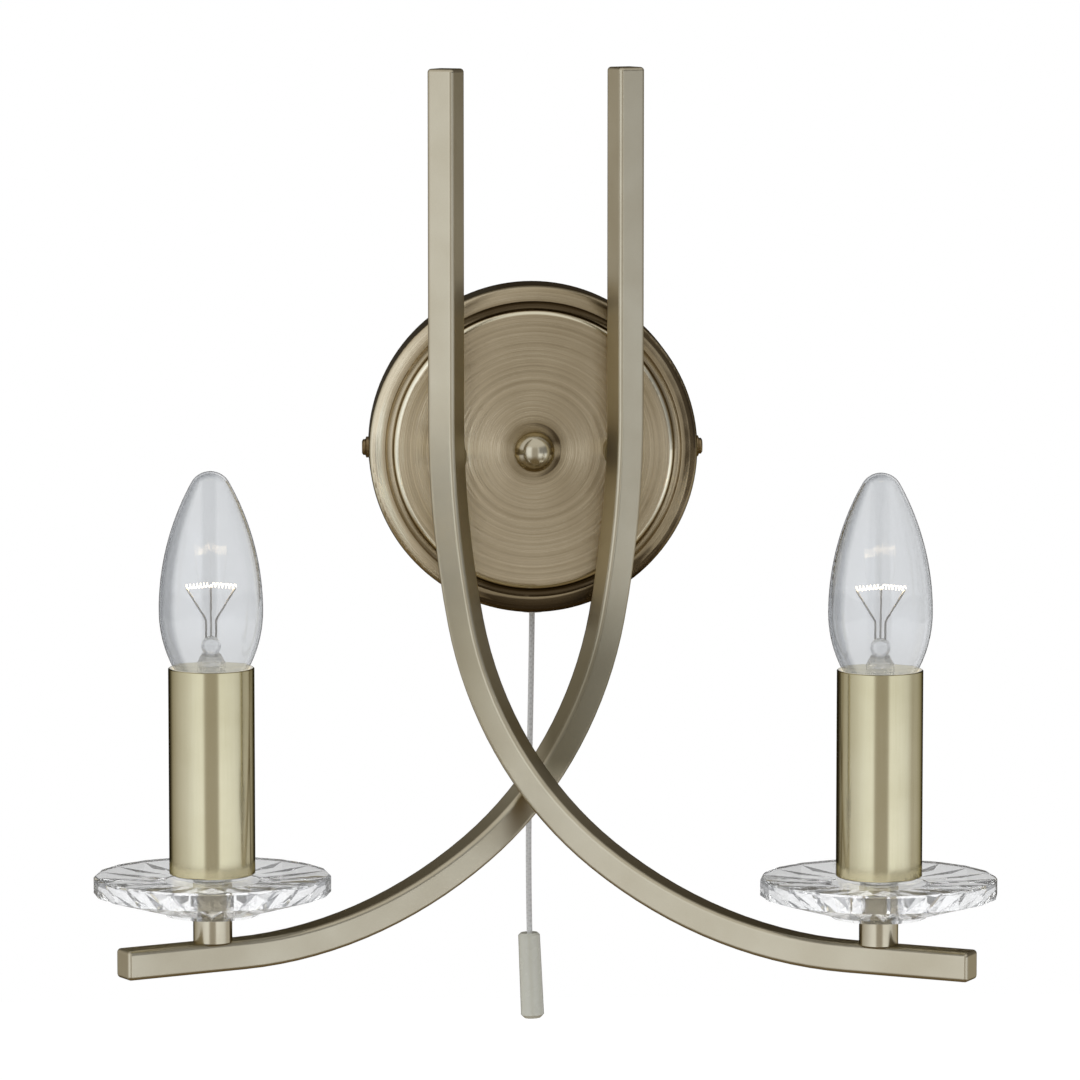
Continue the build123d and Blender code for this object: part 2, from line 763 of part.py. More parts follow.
# ---- pull switch and cord ----------------------------------------------------------------
def make_switch():
    """Housing with a round cavity for the plunger and its spring, open below at the bush."""
    low = switch_top - switch_height
    cavity_top = plunger_seat + plunger_head + seat_gap
    body = block(switch_width, switch_thick, switch_height, low)
    body = fillet(body.edges().filter_by(Axis.Z), switch_corner_r)
    body -= rod(cavity_r, cavity_floor, cavity_top)
    body -= rod(bush_r + thread_gap, low, cavity_floor)
    body = Pos(0, -cord_depth, 0) * body
    for x in (-switch_wire_x, switch_wire_x):
        body -= Pos(x, -cord_depth, 0) * rod(fine_wire_r + slip, switch_top - switch_wire_in, switch_top)
    plunger = lathe(
        (0, rod_end), (plunger_rod_r, rod_end), (plunger_rod_r, plunger_seat), (plunger_head_r, plunger_seat),
        (plunger_head_r, plunger_seat + plunger_head), (0, plunger_seat + plunger_head),
    )
    plunger -= rod(cord_r + slip, rod_end, cord_route[0][1] + slip)
    bush = lathe(
        (bush_bore_r, -plate_r - bush_flange), (bush_flange_r - 0.3, -plate_r - bush_flange),
        (bush_flange_r, -plate_r - bush_flange + 0.3), (bush_flange_r, -plate_r), (bush_r, -plate_r),
        (bush_r, cavity_floor), (bush_bore_r, cavity_floor),
    )
    parts["switch_body"] = body
    parts["switch_plunger"] = Pos(0, -cord_depth, 0) * plunger
    parts["cord_bush"] = Pos(0, -cord_depth, 0) * bush


def make_spring():
    """Return spring on the cavity's floor, wound of half turn arcs."""
    free = spring_length - 2 * spring_wire_r
    pitch = free / spring_turns
    arcs = []
    for half_turn in range(2 * spring_turns):
        sign = 1 if half_turn % 2 == 0 else -1
        low = cavity_floor + spring_wire_r + half_turn * pitch / 2
        arcs += ThreePointArc(
            (sign * spring_r, 0, low), (0, sign * spring_r, low + pitch / 4), (-sign * spring_r, 0, low + pitch / 2)
        ).edges()
    parts["switch_spring"] = Pos(0, -cord_depth, 0) * round_bar(Wire(arcs), spring_wire_r)


def make_cord():
    """Pull cord of straight runs joined by tangent arcs, with a knot in the pull's pocket."""
    points = [Vector(x, -cord_depth, z) for x, z in cord_route]
    radii = []
    for before, corner, after in zip(points, points[1:], points[2:]):
        turn = (corner - before).get_angle(after - corner)
        run = min((corner - before).length, (after - corner).length)
        radii.append(0.45 * run / tan(radians(turn / 2)))
    line = FilletPolyline(*points, radius=radii)
    cord = round_bar(line, cord_r)
    print("cord radii", [round(radius, 1) for radius in radii], "length", round(line.length, 2))
    print("cord volume", round(cord.volume, 2), "section x length", round(Circle(cord_r).area * line.length, 2))
    knot = Pos(*points[-1]) * Sphere(knot_r)
    parts["pull_cord"] = cord + knot


def make_pull():
    """Small weight on the cord's last run, bored for the cord and its knot."""
    axis = Vector(cord_route[-1][0] - cord_route[-2][0], 0, cord_route[-1][1] - cord_route[-2][1]).normalized()
    share = (weight_start - cord_route[-2][1]) / axis.Z
    top = Vector(cord_route[-2][0], -cord_depth, cord_route[-2][1]) + axis * share
    body = lathe(
        (0, 0), (weight_top_r - 0.8, 0), (weight_top_r, 0.8), (weight_r, weight_length - 1.2),
        (weight_r - 1.2, weight_length), (0, weight_length),
    )
    body -= rod(cord_r + 2 * slip, 0, weight_length)
    body -= rod(weight_pocket_r, weight_length - weight_pocket, weight_length)
    parts["cord_pull"] = Plane(origin=top, z_dir=axis).location * body


make_backplate()
make_wall_bracket()
make_screws()
make_finial()
make_post_fasteners()
make_terminal_block()
for arm_name in ("front", "back"):
    make_arm(arm_name)
    make_end_caps(arm_name)
    make_post(arm_name)
    make_lamp(arm_name)
    make_lamp_wire(arm_name)
make_switch_wires()
make_switch()
make_spring()
make_cord()
make_pull()

for node, shape in parts.items():
    export_step(shape, f"parts/{node}.step")
print(len(parts), "nodes,", sum(len(shape.solids()) for shape in parts.values()), "solids")
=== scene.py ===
"""Looks of the double arm wall sconce: brass, cut glass, bulbs with coiled filaments and a braided cord.

Frame: the wall is the plane Y = 0, the room is towards -Y, +Z is up and +X is right. Sizes are in metres.
"""

import json
from math import cos, pi, radians, sin

import bpy
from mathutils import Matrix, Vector


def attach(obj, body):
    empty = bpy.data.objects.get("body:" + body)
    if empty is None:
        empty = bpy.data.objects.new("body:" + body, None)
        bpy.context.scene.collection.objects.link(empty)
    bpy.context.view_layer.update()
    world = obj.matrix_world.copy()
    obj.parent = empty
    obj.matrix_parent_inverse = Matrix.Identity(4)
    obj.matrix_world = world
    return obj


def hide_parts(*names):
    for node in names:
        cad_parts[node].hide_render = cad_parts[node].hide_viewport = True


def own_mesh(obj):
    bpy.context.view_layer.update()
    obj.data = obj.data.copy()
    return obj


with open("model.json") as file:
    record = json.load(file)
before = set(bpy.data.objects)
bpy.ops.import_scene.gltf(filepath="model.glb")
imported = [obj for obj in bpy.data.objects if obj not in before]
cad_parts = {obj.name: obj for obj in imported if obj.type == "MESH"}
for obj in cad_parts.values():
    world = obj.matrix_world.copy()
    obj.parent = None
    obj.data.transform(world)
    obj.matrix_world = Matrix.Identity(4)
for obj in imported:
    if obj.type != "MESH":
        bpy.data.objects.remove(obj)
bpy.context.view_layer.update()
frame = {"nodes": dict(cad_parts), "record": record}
nodes = frame["nodes"]
MICRON = 0.000001

# upright axis of each lamp; the right lamp stands out further, because its arm crosses in front
LAMPS = {"left": Vector((-0.112002, -0.113195, 0)), "right": Vector((0.112002, -0.127695, 0))}
LAMP_REACH = LAMPS["right"].x
LAMP_DEPTH = (LAMPS["right"].y + LAMPS["left"].y) / 2
LAMP_DEPTH_HALF_STEP = (LAMPS["right"].y - LAMPS["left"].y) / 2

# camera: what it looks at, its turn and rise in degrees, its distance, lens and sensor, and how far it sees
CAMERA_TARGET = Vector((0.0003, -0.070, -0.0266))
CAMERA_TURN = 2.35
CAMERA_RISE = 6.3
CAMERA_DISTANCE = 2.2
CAMERA_LENS = 214.0
CAMERA_SENSOR = 36.0
CAMERA_REACH = 50.0

# floor, low enough to stay out of the way of a view from below
FLOOR_HEIGHT = -2.4
FLOOR_SIZE = 24.0
FLOOR_GLOW = 1.1
FLOOR_GLOW_SHARE = 0.9

# pull cord, from the switch to its knot
CORD_ROUTE = (
    (0.0, -0.011, -0.0418), (0.0, -0.011, -0.061), (-0.0019, -0.011, -0.157), (-0.0003, -0.011, -0.1938),
)
CORD_DEPTH = CORD_ROUTE[0][1]
CORD_DIAMETER = 0.002
KNOT_RADIUS = 0.0021
PLAITS_ROUND = 3.0
PLAIT_RATE = 3400.0

# filament: two coils, each from an outer support to the middle one
FILAMENT_HEIGHT = -0.0371
FILAMENT_HALF = 0.0083
FILAMENT_BOW = 0.0026
FILAMENT_RISE = 0.001
FILAMENT_HALF_GAP = 0.0002
COIL_RADIUS = 0.0007
COIL_WIRE = 0.00016
COIL_TURNS = 7
COIL_SIDES = 7
COIL_STEPS = 18

# return spring in the pull switch
SPRING_FOOT = -0.0534
SPRING_LENGTH = 0.0135
SPRING_RADIUS = 0.0039
SPRING_WIRE = 0.0004
SPRING_TURNS = 5
SPRING_SIDES = 10
SPRING_STEPS = 24

# cut glass dish: radius and height above its foot of each ring of corners, from the bore round to the bore
DISH_FOOT = -0.14824
DISH_SIDES = 20
DISH_RINGS = (
    (0.0052, 0.0), (0.0160, 0.0), (0.0168, 0.0010), (0.0400, 0.0075), (0.0400, 0.0127),
    (0.0393, 0.0134), (0.0150, 0.0134), (0.0052, 0.0134),
)
# its facets are the faces between these heights and outside this radius, hollowed by this depth
DISH_CUT_LOW = 0.0011
DISH_CUT_HIGH = 0.0074
DISH_CUT_RADIUS = DISH_RINGS[2][0]
DISH_CUT_DEPTH = 0.0013

# backplate by radius: painted shade round the finial and in the cove, a painted highlight on the disc's lip,
# crowned flange
PLATE_FINIAL_SHADE = (0.0075, 0.0145)
PLATE_LIP = 0.0480
PLATE_LIP_EDGE = (0.0003, 0.0008)
PLATE_COVE = 0.0505
PLATE_COVE_EDGE = (0.0009, 0.0026)
PLATE_FLANGE = (0.0515, 0.0535)
PLATE_CROWN = 0.0525
PLATE_CROWN_FALL = 48.0

# candle tube by height: painted shade toward its mouth and at its foot, and painted filament light inside the
# wall near its mouth
TUBE_DARK_MOUTH = (-0.105, -0.062)
TUBE_DARK_FOOT = (-0.134, -0.128)
TUBE_LIT = (-0.078, -0.067)
TUBE_WALL = (0.01395, 0.0142)

# painted shade on the back arm: darker on the right, from just above the crossing up to the plate's foot
ARM_DARK_RIGHT = (-0.002, 0.006)
ARM_DARK_LOW = (-0.116, -0.104)
ARM_DARK_HIGH = (-0.075, -0.035)

# bulb and dish glass, across from the lamp's axis: painted shade on the left side and in a narrow middle band
GLASS_LEFT = (-0.004, 0.004)
GLASS_BAND = -0.0005
GLASS_BAND_EDGE = (0.0016, 0.0032)

# tones of lacquered brass: painted shade in hollows, a painted highlight on bright lips, painted shade on the
# back arm, and in reflections seen edge on, then the two tones of most pieces and the light inside a candle
# tube's mouth
DEEP_SHADE = (0.10, 0.07, 0.035)
HIGHLIGHT_TONE = (0.84, 0.77, 0.58)
ARM_SHADE_TONE = (0.17, 0.145, 0.09)
EDGE_TINT = (0.40, 0.33, 0.18, 1.0)
TUBE_TINT = (0.14, 0.11, 0.05, 1.0)
BRASS_LIGHT = (0.63, 0.575, 0.435)
BRASS_DARK = (0.49, 0.425, 0.295)
MOUTH_GLOW = (0.60, 0.58, 0.52)
NO_GLOW = (0.0, 0.0, 0.0)

# brightness that metal mirrors at each turn from straight in front of the plate, in degrees, right positive
STUDIO = (
    (-180, 0.06), (-145, 0.06), (-128, 0.52), (-112, 0.60), (-72, 0.86), (-45, 1.14), (-23, 1.22), (-16, 0.50),
    (16, 0.50), (23, 1.32), (45, 1.25), (62, 1.18), (75, 1.05), (92, 0.64), (108, 0.72), (134, 0.68), (150, 0.08),
    (180, 0.06),
)
# tints of its dim and bright parts, and tones from the right, from above, from below and inside glass
WARM = (1.02, 0.90, 0.70)
COOL = (0.95, 1.0, 1.10)
RIGHT_TONE = (0.04, 0.03, 0.02)
ABOVE_TONE = (0.74, 0.74, 0.74)
BELOW_TONE = (0.20, 0.155, 0.09)
GLASS_TONE = (0.93, 0.95, 0.97)
# background behind the object, and what clear glass bends into view from far to the side
WHITE = (1.0, 1.0, 1.0)
ASIDE_TONE = (0.24, 0.245, 0.255)

# sockets of a Mix node that mixes colours: its factor, both colours and its result
MIX_FACTOR, MIX_FIRST, MIX_SECOND, MIX_RESULT = 0, 6, 7, 2


# ---- values that flow between shader nodes --------------------------------------------------
class Flow:
    """One output of a shader node. Arithmetic on it adds Math nodes to the same tree."""

    def __init__(self, tree, socket=None):
        self.tree = tree
        self.socket = socket

    def node(self, kind, settings, inputs, output=0):
        """Adds a node: its settings, then its inputs, each a value or another flow."""
        made = self.tree.nodes.new(kind)
        for name, value in settings.items():
            setattr(made, name, value)
        for key, value in inputs.items():
            if isinstance(value, Flow):
                self.tree.links.new(value.socket, made.inputs[key])
            else:
                made.inputs[key].default_value = value
        return Flow(self.tree, made.outputs[output])

    def math(self, operation, *values):
        return self.node("ShaderNodeMath", {"operation": operation}, dict(enumerate(values)))

    def __add__(self, other):
        return self.math("ADD", self, other)

    def __radd__(self, other):
        return self.math("ADD", other, self)

    def __sub__(self, other):
        return self.math("SUBTRACT", self, other)

    def __rsub__(self, other):
        return self.math("SUBTRACT", other, self)

    def __mul__(self, other):
        return self.math("MULTIPLY", self, other)

    def __rmul__(self, other):
        return self.math("MULTIPLY", other, self)

    def __truediv__(self, other):
        return self.math("DIVIDE", self, other)

    def __rtruediv__(self, other):
        return self.math("DIVIDE", other, self)

    def __pow__(self, other):
        return self.math("POWER", self, other)

    def place(self):
        """The point on the object, in metres of the frame."""
        return self.node("ShaderNodeTexCoord", {}, {}, "Object")

    def parts(self):
        """The three numbers of a vector."""
        split = self.tree.nodes.new("ShaderNodeSeparateXYZ")
        self.tree.links.new(self.socket, split.inputs[0])
        return [Flow(self.tree, out) for out in split.outputs]

    def stretched(self, x, y, z):
        """A vector with its axes scaled."""
        return self.node("ShaderNodeVectorMath", {"operation": "MULTIPLY"}, {0: self, 1: (x, y, z)})

    def lamp_place(self):
        """Distances across and in depth from the axis of the lamp on this point's side, and height."""
        x, y, z = self.parts()
        side = self.math("SIGN", x)
        across = x - side * LAMP_REACH
        depth = y - side * LAMP_DEPTH_HALF_STEP - LAMP_DEPTH
        return across, depth, z

    def noise(self, scale, detail):
        """Soft noise from 0 to 1 at this vector."""
        return self.node("ShaderNodeTexNoise", {}, {"Vector": self, "Scale": scale, "Detail": detail})

    def line_noise(self, scale, detail):
        """Soft noise from 0 to 1 along this single number."""
        inputs = {"W": self, "Scale": scale, "Detail": detail}
        return self.node("ShaderNodeTexNoise", {"noise_dimensions": "1D"}, inputs)

    def span(self, low, high, start, end):
        """This number carried from one span to another, and held at its ends."""
        inputs = {"Value": self, "From Min": low, "From Max": high, "To Min": start, "To Max": end}
        return self.node("ShaderNodeMapRange", {"clamp": True}, inputs)

    def ease(self, low, high):
        """0 below the span, 1 above it and a soft step between."""
        inputs = {"Value": self, "From Min": low, "From Max": high}
        return self.node("ShaderNodeMapRange", {"interpolation_type": "SMOOTHSTEP"}, inputs)

    def near(self, middle, edge):
        """1 where this number is at the middle, and a soft fall to 0 between the edge's two distances from it."""
        return 1.0 - self.math("ABSOLUTE", self - middle).ease(*edge)

    def mix(self, first, second):
        """Two colours mixed by this number."""
        made = self.tree.nodes.new("ShaderNodeMix")
        made.data_type = "RGBA"
        self.tree.links.new(self.socket, made.inputs[MIX_FACTOR])
        for index, colour in ((MIX_FIRST, first), (MIX_SECOND, second)):
            if isinstance(colour, Flow):
                self.tree.links.new(colour.socket, made.inputs[index])
            else:
                made.inputs[index].default_value = (*colour, 1.0)
        return Flow(self.tree, made.outputs[MIX_RESULT])

    def ramp(self, stops):
        """A colour looked up at this number from stops of place and colour."""
        made = self.tree.nodes.new("ShaderNodeValToRGB")
        self.tree.links.new(self.socket, made.inputs[0])
        points = made.color_ramp.elements
        while len(points) < len(stops):
            points.new(0.5)
        for point, (position, colour) in zip(points, stops):
            point.position = position
            point.color = (*colour, 1.0)
        return Flow(self.tree, made.outputs[0])

    def bump(self, height):
        """Surface direction of a height in metres."""
        return self.node("ShaderNodeBump", {}, {"Height": height, "Distance": 1.0, "Strength": 1.0})


def new_material(name):
    """An empty node material: (material, start of its flows, its output node)."""
    made = bpy.data.materials.new(name)
    made.use_nodes = True
    tree = made.node_tree
    tree.nodes.clear()
    return made, Flow(tree), tree.nodes.new("ShaderNodeOutputMaterial")


def surface(start, out, **inputs):
    """Joins a principled surface with these inputs to the material's output."""
    named = {key.replace("_", " "): value for key, value in inputs.items()}
    shader = start.node("ShaderNodeBsdfPrincipled", {}, named)
    start.tree.links.new(shader.socket, out.inputs[0])


# ---- grains of each brass: mottle and painted light from 0 to 1, height in metres and perhaps a painted shade share ----
def plate_grain_and_light(start):
    """Turning marks round the plate's centre, a crowned flange, and painted light and shade, darkest in the
    hollow ring.
    """
    point = start.place()
    x, _, z = point.parts()
    radius = (x * x + z * z) ** 0.5
    fine = radius.line_noise(7000.0, 2.0)
    broad = radius.line_noise(600.0, 2.0)
    cloud = point.noise(38.0, 3.0)

    # nearness to the plate's top or foot, where the painted shade in the cove is darkest
    upright = start.math("ABSOLUTE", z) / radius
    cove_shade = radius.near(PLATE_COVE, PLATE_COVE_EDGE) * upright.span(0.45, 0.95, 0.45, 1.0)
    # painted highlight: a bright ring on the lip of the disc
    lip_highlight = radius.near(PLATE_LIP, PLATE_LIP_EDGE) * 0.75
    # painted shade round the finial
    finial_shade = (1.0 - radius.ease(*PLATE_FINIAL_SHADE)) * 0.35
    flange = radius.ease(*PLATE_FLANGE)
    # painted shade on the flange, deepest at its foot
    flange_foot_shade = (z / radius * -1.0).ease(0.55, 0.98) * flange * 0.75

    # painted light: lighter to the left, most of all on the flange, and a painted highlight in a wedge at each
    # side of the disc
    wedge_highlight = (1.0 - upright.ease(0.05, 0.45)) * (1.0 - flange)
    side_light = (x * -0.85 - z * 0.2) / radius * (0.22 + flange * 0.35) + wedge_highlight * 0.16

    beyond = start.math("MAXIMUM", radius - PLATE_CROWN, 0.0)
    crown = beyond * beyond * -PLATE_CROWN_FALL
    mottle_and_light = (cloud * 0.5 + broad * 0.5 + side_light - finial_shade - flange_foot_shade) * (1.0 - cove_shade) + lip_highlight
    return mottle_and_light, fine * (45 * MICRON) + broad * (25 * MICRON) + cloud * (40 * MICRON) + crown


def candle_tube_grain_and_shade(start):
    """Brushing that runs up and down a candle tube, with painted shade toward its mouth and at its foot."""
    point = start.place()
    streak = point.stretched(1.0, 1.0, 0.02).noise(2600.0, 3.0)
    cloud = point.noise(60.0, 3.0)
    height = point.parts()[2]
    # painted shade toward the mouth and at the foot
    dark = height.ease(*TUBE_DARK_MOUTH) * 0.22 + (1.0 - height.ease(*TUBE_DARK_FOOT)) * 0.3
    return cloud * 0.7 + streak * 0.3 - dark, streak * (1.5 * MICRON) + cloud * (10 * MICRON)


def arm_grain_and_shade(start):
    """Fine polishing marks and slight waviness of drawn tube, and a stretch of painted shade on the back arm."""
    point = start.place()
    scratch = point.noise(3000.0, 3.0)
    cloud = point.noise(45.0, 3.0)
    x, _, z = point.parts()
    # painted shade on the back arm's right side, from above the crossing up to the plate
    painted_shade = x.ease(*ARM_DARK_RIGHT) * z.ease(*ARM_DARK_LOW) * (1.0 - z.ease(*ARM_DARK_HIGH)) * 0.75
    return cloud * 0.75 + scratch * 0.25, scratch * (0.3 * MICRON) + cloud * (20 * MICRON), painted_shade


def turned_grain(start):
    """Turning marks that run level round an upright part."""
    point = start.place()
    mark = point.parts()[2].line_noise(6000.0, 3.0)
    cloud = point.noise(90.0, 3.0)
    return cloud * 0.7 + mark * 0.3, mark * (2.5 * MICRON) + cloud * (10 * MICRON)


# ---- finishes -------------------------------------------------------------------------------
def mouth_light(start):
    """Light of the lit filament on the inside of a candle tube, near its mouth."""
    across, depth, height = start.place().lamp_place()
    inside = 1.0 - ((across * across + depth * depth) ** 0.5).ease(*TUBE_WALL)
    return (inside * height.ease(*TUBE_LIT)).mix(NO_GLOW, MOUTH_GLOW)


def brass(name, light, dark, roughness, grain_and_light, edge=EDGE_TINT, lit=None):
    """Lacquered brass with one of the grains above and their painted light, and perhaps its own light, such as
    mouth_light.
    """
    made, start, out = new_material(name)
    mottle_and_light, height, *painted_shade = grain_and_light(start)
    # the lowest stop is painted shade and the top stop a painted highlight
    colour = mottle_and_light.ramp(((0.0, DEEP_SHADE), (0.12, dark), (0.9, light), (1.0, HIGHLIGHT_TONE)))
    # painted shade, where the grain gives one, as on the back arm
    if painted_shade:
        colour = painted_shade[0].mix(colour, ARM_SHADE_TONE)
    glow = {}
    if lit:
        glow = {"Emission_Color": lit(start), "Emission_Strength": 1.0}
    surface(
        start, out, **glow,
        Base_Color=colour,
        Metallic=1.0,
        Roughness=mottle_and_light.span(0.0, 1.0, roughness + 0.05, roughness - 0.04),
        Normal=start.bump(height),
        Coat_Weight=0.12,
        Coat_Roughness=0.12,
        Specular_Tint=edge,
    )
    return made


def glass(name, tint, edge, wave_scale, wave_height, roughness, alpha=1.0, index=1.5):
    """Clear glass, faintly wavy, deeper in tone seen edge on, with painted shade at its left and in a middle
    band.
    """
    made, start, out = new_material(name)
    point = start.place()
    wave = point.noise(wave_scale, 2.0)
    smear = point.noise(55.0, 3.0)
    across = point.lamp_place()[0]
    facing = start.node("ShaderNodeLayerWeight", {}, {"Blend": 0.5}, "Facing")
    # painted shade on the glass's left side and in a narrow band down its middle
    left = across.span(*GLASS_LEFT, 1.0, 0.0)
    band = across.near(GLASS_BAND, GLASS_BAND_EDGE)
    deep = facing.ease(0.58, 0.85) + facing.ease(0.26, 0.44) * left * 0.65 + band * 0.10
    surface(
        start, out,
        Alpha=alpha,
        Base_Color=start.math("MINIMUM", deep * 0.9 + smear * 0.1, 1.0).mix(tint, edge),
        Transmission_Weight=1.0,
        IOR=index,
        Roughness=smear.span(0.35, 0.75, 0.0, roughness),
        Normal=start.bump(wave * wave_height),
    )
    return made


def plain(name, light, dark, roughness, scale, height, metallic=0.0, coat=0.0):
    """Opaque surface with fine mottling."""
    made, start, out = new_material(name)
    point = start.place()
    fine = point.noise(scale * 6, 3.0)
    cloud = point.noise(scale, 3.0)
    surface(
        start, out,
        Base_Color=cloud.mix(dark, light),
        Metallic=metallic,
        Roughness=cloud.span(0.2, 0.8, roughness + 0.07, roughness - 0.05),
        Normal=start.bump(fine * height * 0.3 + cloud * height),
        Coat_Weight=coat,
        Coat_Roughness=0.1,
    )
    return made


def glowing(name):
    """Hot tungsten: warm white light, a little uneven along the coil."""
    made, start, out = new_material(name)
    heat = start.place().noise(900.0, 2.0)
    surface(
        start, out,
        Base_Color=heat.mix((0.30, 0.24, 0.18), (0.42, 0.34, 0.25)),
        Metallic=1.0,
        Roughness=heat.span(0.0, 1.0, 0.35, 0.5),
        Normal=start.bump(heat * (10 * MICRON)),
        Emission_Color=heat.mix((1.0, 0.80, 0.52), (1.0, 0.86, 0.62)),
        Emission_Strength=6.0,
    )
    return made


def braided(name):
    """Fine braided cord: diagonal plaits that wind both ways round it."""
    made, start, out = new_material(name)
    point = start.place()
    x, y, z = point.parts()
    winding = start.math("ARCTAN2", y - CORD_DEPTH, x) * PLAITS_ROUND
    one_way = start.math("SINE", z * PLAIT_RATE + winding)
    other_way = start.math("SINE", z * PLAIT_RATE - winding)
    plait = start.math("MAXIMUM", one_way, other_way)
    fuzz = point.noise(4200.0, 3.0)
    surface(
        start, out,
        Base_Color=(plait * 0.3 + fuzz * 0.3 + 0.3).mix((0.66, 0.66, 0.64), (0.90, 0.90, 0.88)),
        Roughness=fuzz.span(0.0, 1.0, 0.75, 0.95),
        Normal=start.bump(plait * (30 * MICRON) + fuzz * (20 * MICRON)),
        Sheen_Weight=0.3,
    )
    return made


materials = {
    "plate_brass": brass("Brushed plate brass", (0.74, 0.635, 0.45), (0.38, 0.305, 0.19), 0.10, plate_grain_and_light),
    "satin_brass": brass("Satin tube brass", BRASS_LIGHT, BRASS_DARK, 0.31, arm_grain_and_shade),
    "upright_brass": brass(
        "Upright brushed brass", (0.66, 0.60, 0.41), (0.56, 0.50, 0.31), 0.15, candle_tube_grain_and_shade,
        edge=TUBE_TINT, lit=mouth_light,
    ),
    "aged_brass": brass("Aged screw brass", (0.36, 0.27, 0.15), (0.20, 0.14, 0.07), 0.30, turned_grain),
    "turned_brass": brass("Turned brass", BRASS_LIGHT, BRASS_DARK, 0.20, turned_grain),
    "bare_brass": brass("Bare machined brass", (0.76, 0.60, 0.33), (0.60, 0.45, 0.22), 0.28, turned_grain),
    "zinc_steel": plain(
        "Zinc plated steel", (0.66, 0.67, 0.66), (0.50, 0.51, 0.50), 0.34, 160.0, 20 * MICRON, metallic=1.0
    ),
    "clear_washer": plain(
        "Soft clear washer", (0.72, 0.72, 0.69), (0.62, 0.62, 0.59), 0.4, 300.0, 10 * MICRON
    ),
    "cut_glass": glass(
        "Polished cut glass", (0.99, 0.995, 1.0), (0.95, 0.96, 0.965), 90.0, 40 * MICRON, 0.01,
        alpha=0.92, index=1.48,
    ),
    "bulb_glass": glass(
        "Blown bulb glass", (0.87, 0.88, 0.89), (0.26, 0.275, 0.295), 60.0, 20 * MICRON, 0.0
    ),
    "mount_glass": glass(
        "Drawn mount glass", (0.93, 0.935, 0.94), (0.60, 0.60, 0.62), 200.0, 20 * MICRON, 0.0, alpha=0.5
    ),
    "bulb_cap": brass("Rolled cap brass", (0.74, 0.63, 0.40), (0.60, 0.50, 0.30), 0.30, turned_grain),
    "solder": plain(
        "Dull solder", (0.62, 0.62, 0.60), (0.44, 0.44, 0.42), 0.45, 500.0, 40 * MICRON, metallic=1.0
    ),
    "lead_wire": plain(
        "Drawn lead wire", (0.86, 0.84, 0.80), (0.74, 0.71, 0.67), 0.35, 700.0, 10 * MICRON, metallic=0.3
    ),
    "filament": glowing("Glowing filament"),
    "black_glass": plain(
        "Black glass insulator", (0.03, 0.03, 0.032), (0.015, 0.015, 0.017), 0.12, 400.0, 20 * MICRON
    ),
    "holder_plastic": plain(
        "Lampholder plastic", (0.80, 0.78, 0.71), (0.70, 0.68, 0.61), 0.5, 300.0, 20 * MICRON
    ),
    "white_plastic": plain("White nylon", (0.82, 0.81, 0.77), (0.73, 0.72, 0.68), 0.45, 300.0, 20 * MICRON),
    "cord": braided("Braided cord"),
    "pull_plastic": plain(
        "Pale moulded pull", (0.80, 0.795, 0.68), (0.74, 0.735, 0.62), 0.25, 220.0, 10 * MICRON, coat=0.4
    ),
    "wire_cover": plain("Wire covering", (0.72, 0.71, 0.67), (0.62, 0.61, 0.57), 0.5, 400.0, 10 * MICRON),
}

# pieces whose finish differs from that of their slot
FINISHES = {
    "candle_tube_left": "upright_brass",
    "candle_tube_right": "upright_brass",
    "lamp_stem_left": "turned_brass",
    "lamp_stem_right": "turned_brass",
    "finial_ball": "turned_brass",
    "side_screws": "aged_brass",
    "bulb_mount_left": "mount_glass",
    "bulb_mount_right": "mount_glass",
}


def paint_nodes():
    """Gives every carried-over piece its finish."""
    for part in frame["record"]["subparts"]:
        name = part["node"]
        mesh = nodes[name].data
        mesh.materials.clear()
        mesh.materials.append(materials[FINISHES.get(name, part["material_slot"])])


# ---- camera, floor and light ----------------------------------------------------------------
def camera_back():
    """Direction from the camera's target to the camera."""
    turn = radians(CAMERA_TURN)
    rise = radians(CAMERA_RISE)
    return Vector((-sin(turn) * cos(rise), -cos(turn) * cos(rise), sin(rise)))


def make_camera():
    """A long lens, nearly level and a little to the left."""
    back = camera_back()
    made = bpy.data.cameras.new("camera")
    made.lens = CAMERA_LENS
    made.sensor_width = CAMERA_SENSOR
    made.clip_end = CAMERA_REACH
    camera = bpy.data.objects.new("camera", made)
    camera.location = CAMERA_TARGET + back * CAMERA_DISTANCE
    camera.rotation_mode = "QUATERNION"
    camera.rotation_quaternion = (-back).to_track_quat("-Z", "Y")
    bpy.context.scene.collection.objects.link(camera)
    bpy.context.scene.camera = camera


def studio_tone(start, way):
    """What metal mirrors in each direction: bright sides, a darker band in front, and a dark rear and floor."""
    x, y, z = way.parts()
    turn = start.math("ARCTAN2", x, y * -1.0) / (2 * pi) + 0.5
    stops = []
    for angle, grey in STUDIO:
        tone = tuple(grey * (warm + (cool - warm) * min(grey, 1.0)) for warm, cool in zip(WARM, COOL))
        stops.append(((angle + 180) / 360, tone))
    round_about = turn.ramp(stops)
    right = turn.ease(0.55, 0.58) * z.ease(-0.15, 0.0) * 0.75
    above = z.ease(0.40, 0.60) * y.span(-0.2, 0.3, 1.0, 0.2)
    below = (z * -1.0).ease(0.22, 0.70)
    return below.mix(above.mix(right.mix(round_about, RIGHT_TONE), ABOVE_TONE), BELOW_TONE)


